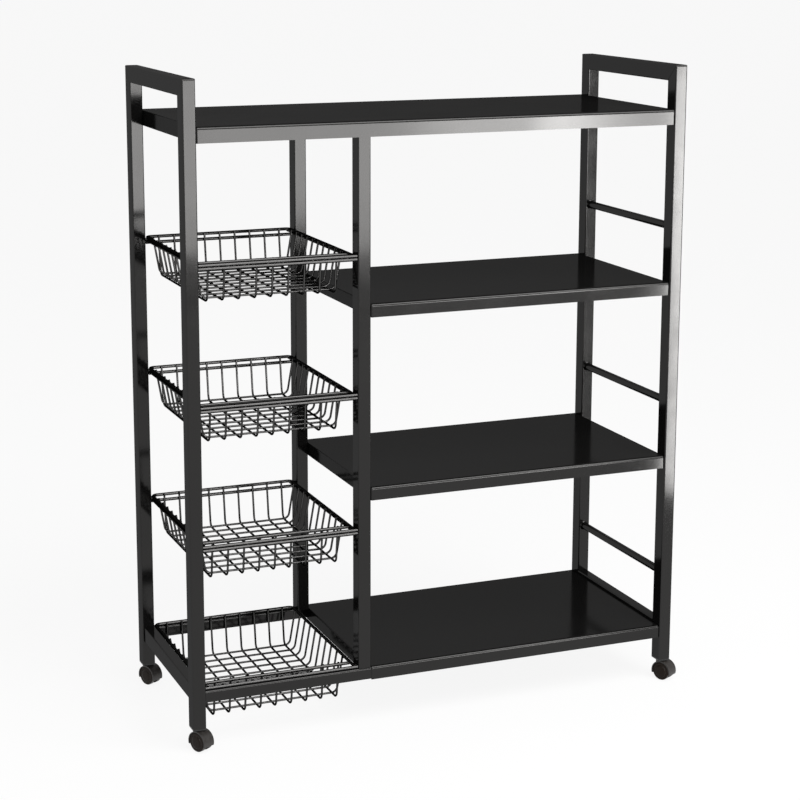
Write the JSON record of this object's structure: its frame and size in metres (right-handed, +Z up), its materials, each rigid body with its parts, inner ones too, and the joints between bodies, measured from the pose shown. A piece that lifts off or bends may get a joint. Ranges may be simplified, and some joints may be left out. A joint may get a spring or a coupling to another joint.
{
  "type": "kitchen storage rack",
  "caption": "Free-standing black steel kitchen rack on casters, with open sheet shelves, a bay of pull-out wire baskets and raised handle rails at both ends.",
  "frame": {"origin": "on the floor, under the middle of the rack's post frame", "axes": "+Z up, +Y from the front to the back, +X to the right as seen from the front; the basket bay is at -X"},
  "size_m": [0.8135, 0.3242, 0.99],
  "materials": {
    "black_paint": "glossy black paint on steel",
    "black_wire": "glossy black paint on steel wire",
    "caster_plastic": "satin dark grey plastic",
    "caster_wheel": "satin brownish black plastic",
    "steel": "plain zinc-coated steel"
  },
  "bodies": {
    "frame": {"left_front_post": "black_paint", "left_back_post": "black_paint", "right_front_post": "black_paint", "right_back_post": "black_paint", "left_handle_rail": "black_paint", "right_handle_rail": "black_paint", "front_divider_post": "black_paint", "back_divider_post": "black_paint", "top_shelf": "black_paint", "upper_shelf": "black_paint", "middle_shelf": "black_paint", "bottom_shelf": "black_paint", "bottom_front_rail": "black_paint", "bottom_back_rail": "black_paint", "bottom_left_rail": "black_paint", "bottom_right_rail": "black_paint", "upper_guard_bar": "black_paint", "middle_guard_bar": "black_paint", "lower_guard_bar": "black_paint", "basket_1_left_runner": "black_paint", "basket_1_right_runner": "black_paint", "basket_2_left_runner": "black_paint", "basket_2_right_runner": "black_paint", "basket_3_left_runner": "black_paint", "basket_3_right_runner": "black_paint", "shelf_screws": "steel", "caster_sockets": "caster_plastic"},
    "basket_1": {"basket_1_rim": "black_wire", "basket_1_cross_rods": "black_wire", "basket_1_long_wires": "black_wire", "basket_1_cross_wires": "black_wire"},
    "basket_2": {"basket_2_rim": "black_wire", "basket_2_cross_rods": "black_wire", "basket_2_long_wires": "black_wire", "basket_2_cross_wires": "black_wire"},
    "basket_3": {"basket_3_rim": "black_wire", "basket_3_cross_rods": "black_wire", "basket_3_long_wires": "black_wire", "basket_3_cross_wires": "black_wire"},
    "basket_4": {"basket_4_rim": "black_wire", "basket_4_cross_rods": "black_wire", "basket_4_long_wires": "black_wire", "basket_4_cross_wires": "black_wire"},
    "front_left_caster": {"front_left_caster_hood": "caster_plastic", "front_left_caster_stem": "steel"},
    "front_left_wheels": {"front_left_caster_wheels": "caster_wheel", "front_left_caster_axle": "steel"},
    "front_right_caster": {"front_right_caster_hood": "caster_plastic", "front_right_caster_stem": "steel"},
    "front_right_wheels": {"front_right_caster_wheels": "caster_wheel", "front_right_caster_axle": "steel"},
    "back_left_caster": {"back_left_caster_hood": "caster_plastic", "back_left_caster_stem": "steel"},
    "back_left_wheels": {"back_left_caster_wheels": "caster_wheel", "back_left_caster_axle": "steel"},
    "back_right_caster": {"back_right_caster_hood": "caster_plastic", "back_right_caster_stem": "steel"},
    "back_right_wheels": {"back_right_caster_wheels": "caster_wheel", "back_right_caster_axle": "steel"}
  },
  "joints": [
    {"name": "basket_1_slide", "type": "slide", "parent": "frame", "child": "basket_1", "axis": [0, -1, 0], "range_m": [0, 0.2]},
    {"name": "basket_2_slide", "type": "slide", "parent": "frame", "child": "basket_2", "axis": [0, -1, 0], "range_m": [0, 0.2]},
    {"name": "basket_3_slide", "type": "slide", "parent": "frame", "child": "basket_3", "axis": [0, -1, 0], "range_m": [0, 0.2]},
    {"name": "basket_4_lift", "type": "slide", "parent": "frame", "child": "basket_4", "axis": [0, 0, 1], "range_m": [0, 0.08]},
    {"name": "front_left_swivel", "type": "hinge", "parent": "frame", "child": "front_left_caster", "pos_m": [-0.39, -0.1425, 0.033], "axis": [0, 0, 1], "continuous": true},
    {"name": "front_left_spin", "type": "hinge", "parent": "front_left_caster", "child": "front_left_wheels", "pos_m": [-0.38671, -0.14868, 0.0145], "axis": [0.8829, 0.4695, 0], "continuous": true},
    {"name": "front_right_swivel", "type": "hinge", "parent": "frame", "child": "front_right_caster", "pos_m": [0.39, -0.1425, 0.033], "axis": [0, 0, 1], "continuous": true},
    {"name": "front_right_spin", "type": "hinge", "parent": "front_right_caster", "child": "front_right_wheels", "pos_m": [0.39329, -0.14868, 0.0145], "axis": [0.8829, 0.4695, 0], "continuous": true},
    {"name": "back_left_swivel", "type": "hinge", "parent": "frame", "child": "back_left_caster", "pos_m": [-0.39, 0.1425, 0.033], "axis": [0, 0, 1], "continuous": true},
    {"name": "back_left_spin", "type": "hinge", "parent": "back_left_caster", "child": "back_left_wheels", "pos_m": [-0.38671, 0.13632, 0.0145], "axis": [0.8829, 0.4695, 0], "continuous": true},
    {"name": "back_right_swivel", "type": "hinge", "parent": "frame", "child": "back_right_caster", "pos_m": [0.39, 0.1425, 0.033], "axis": [0, 0, 1], "continuous": true},
    {"name": "back_right_spin", "type": "hinge", "parent": "back_right_caster", "child": "back_right_wheels", "pos_m": [0.39329, 0.13632, 0.0145], "axis": [0.8829, 0.4695, 0], "continuous": true}
  ]
}
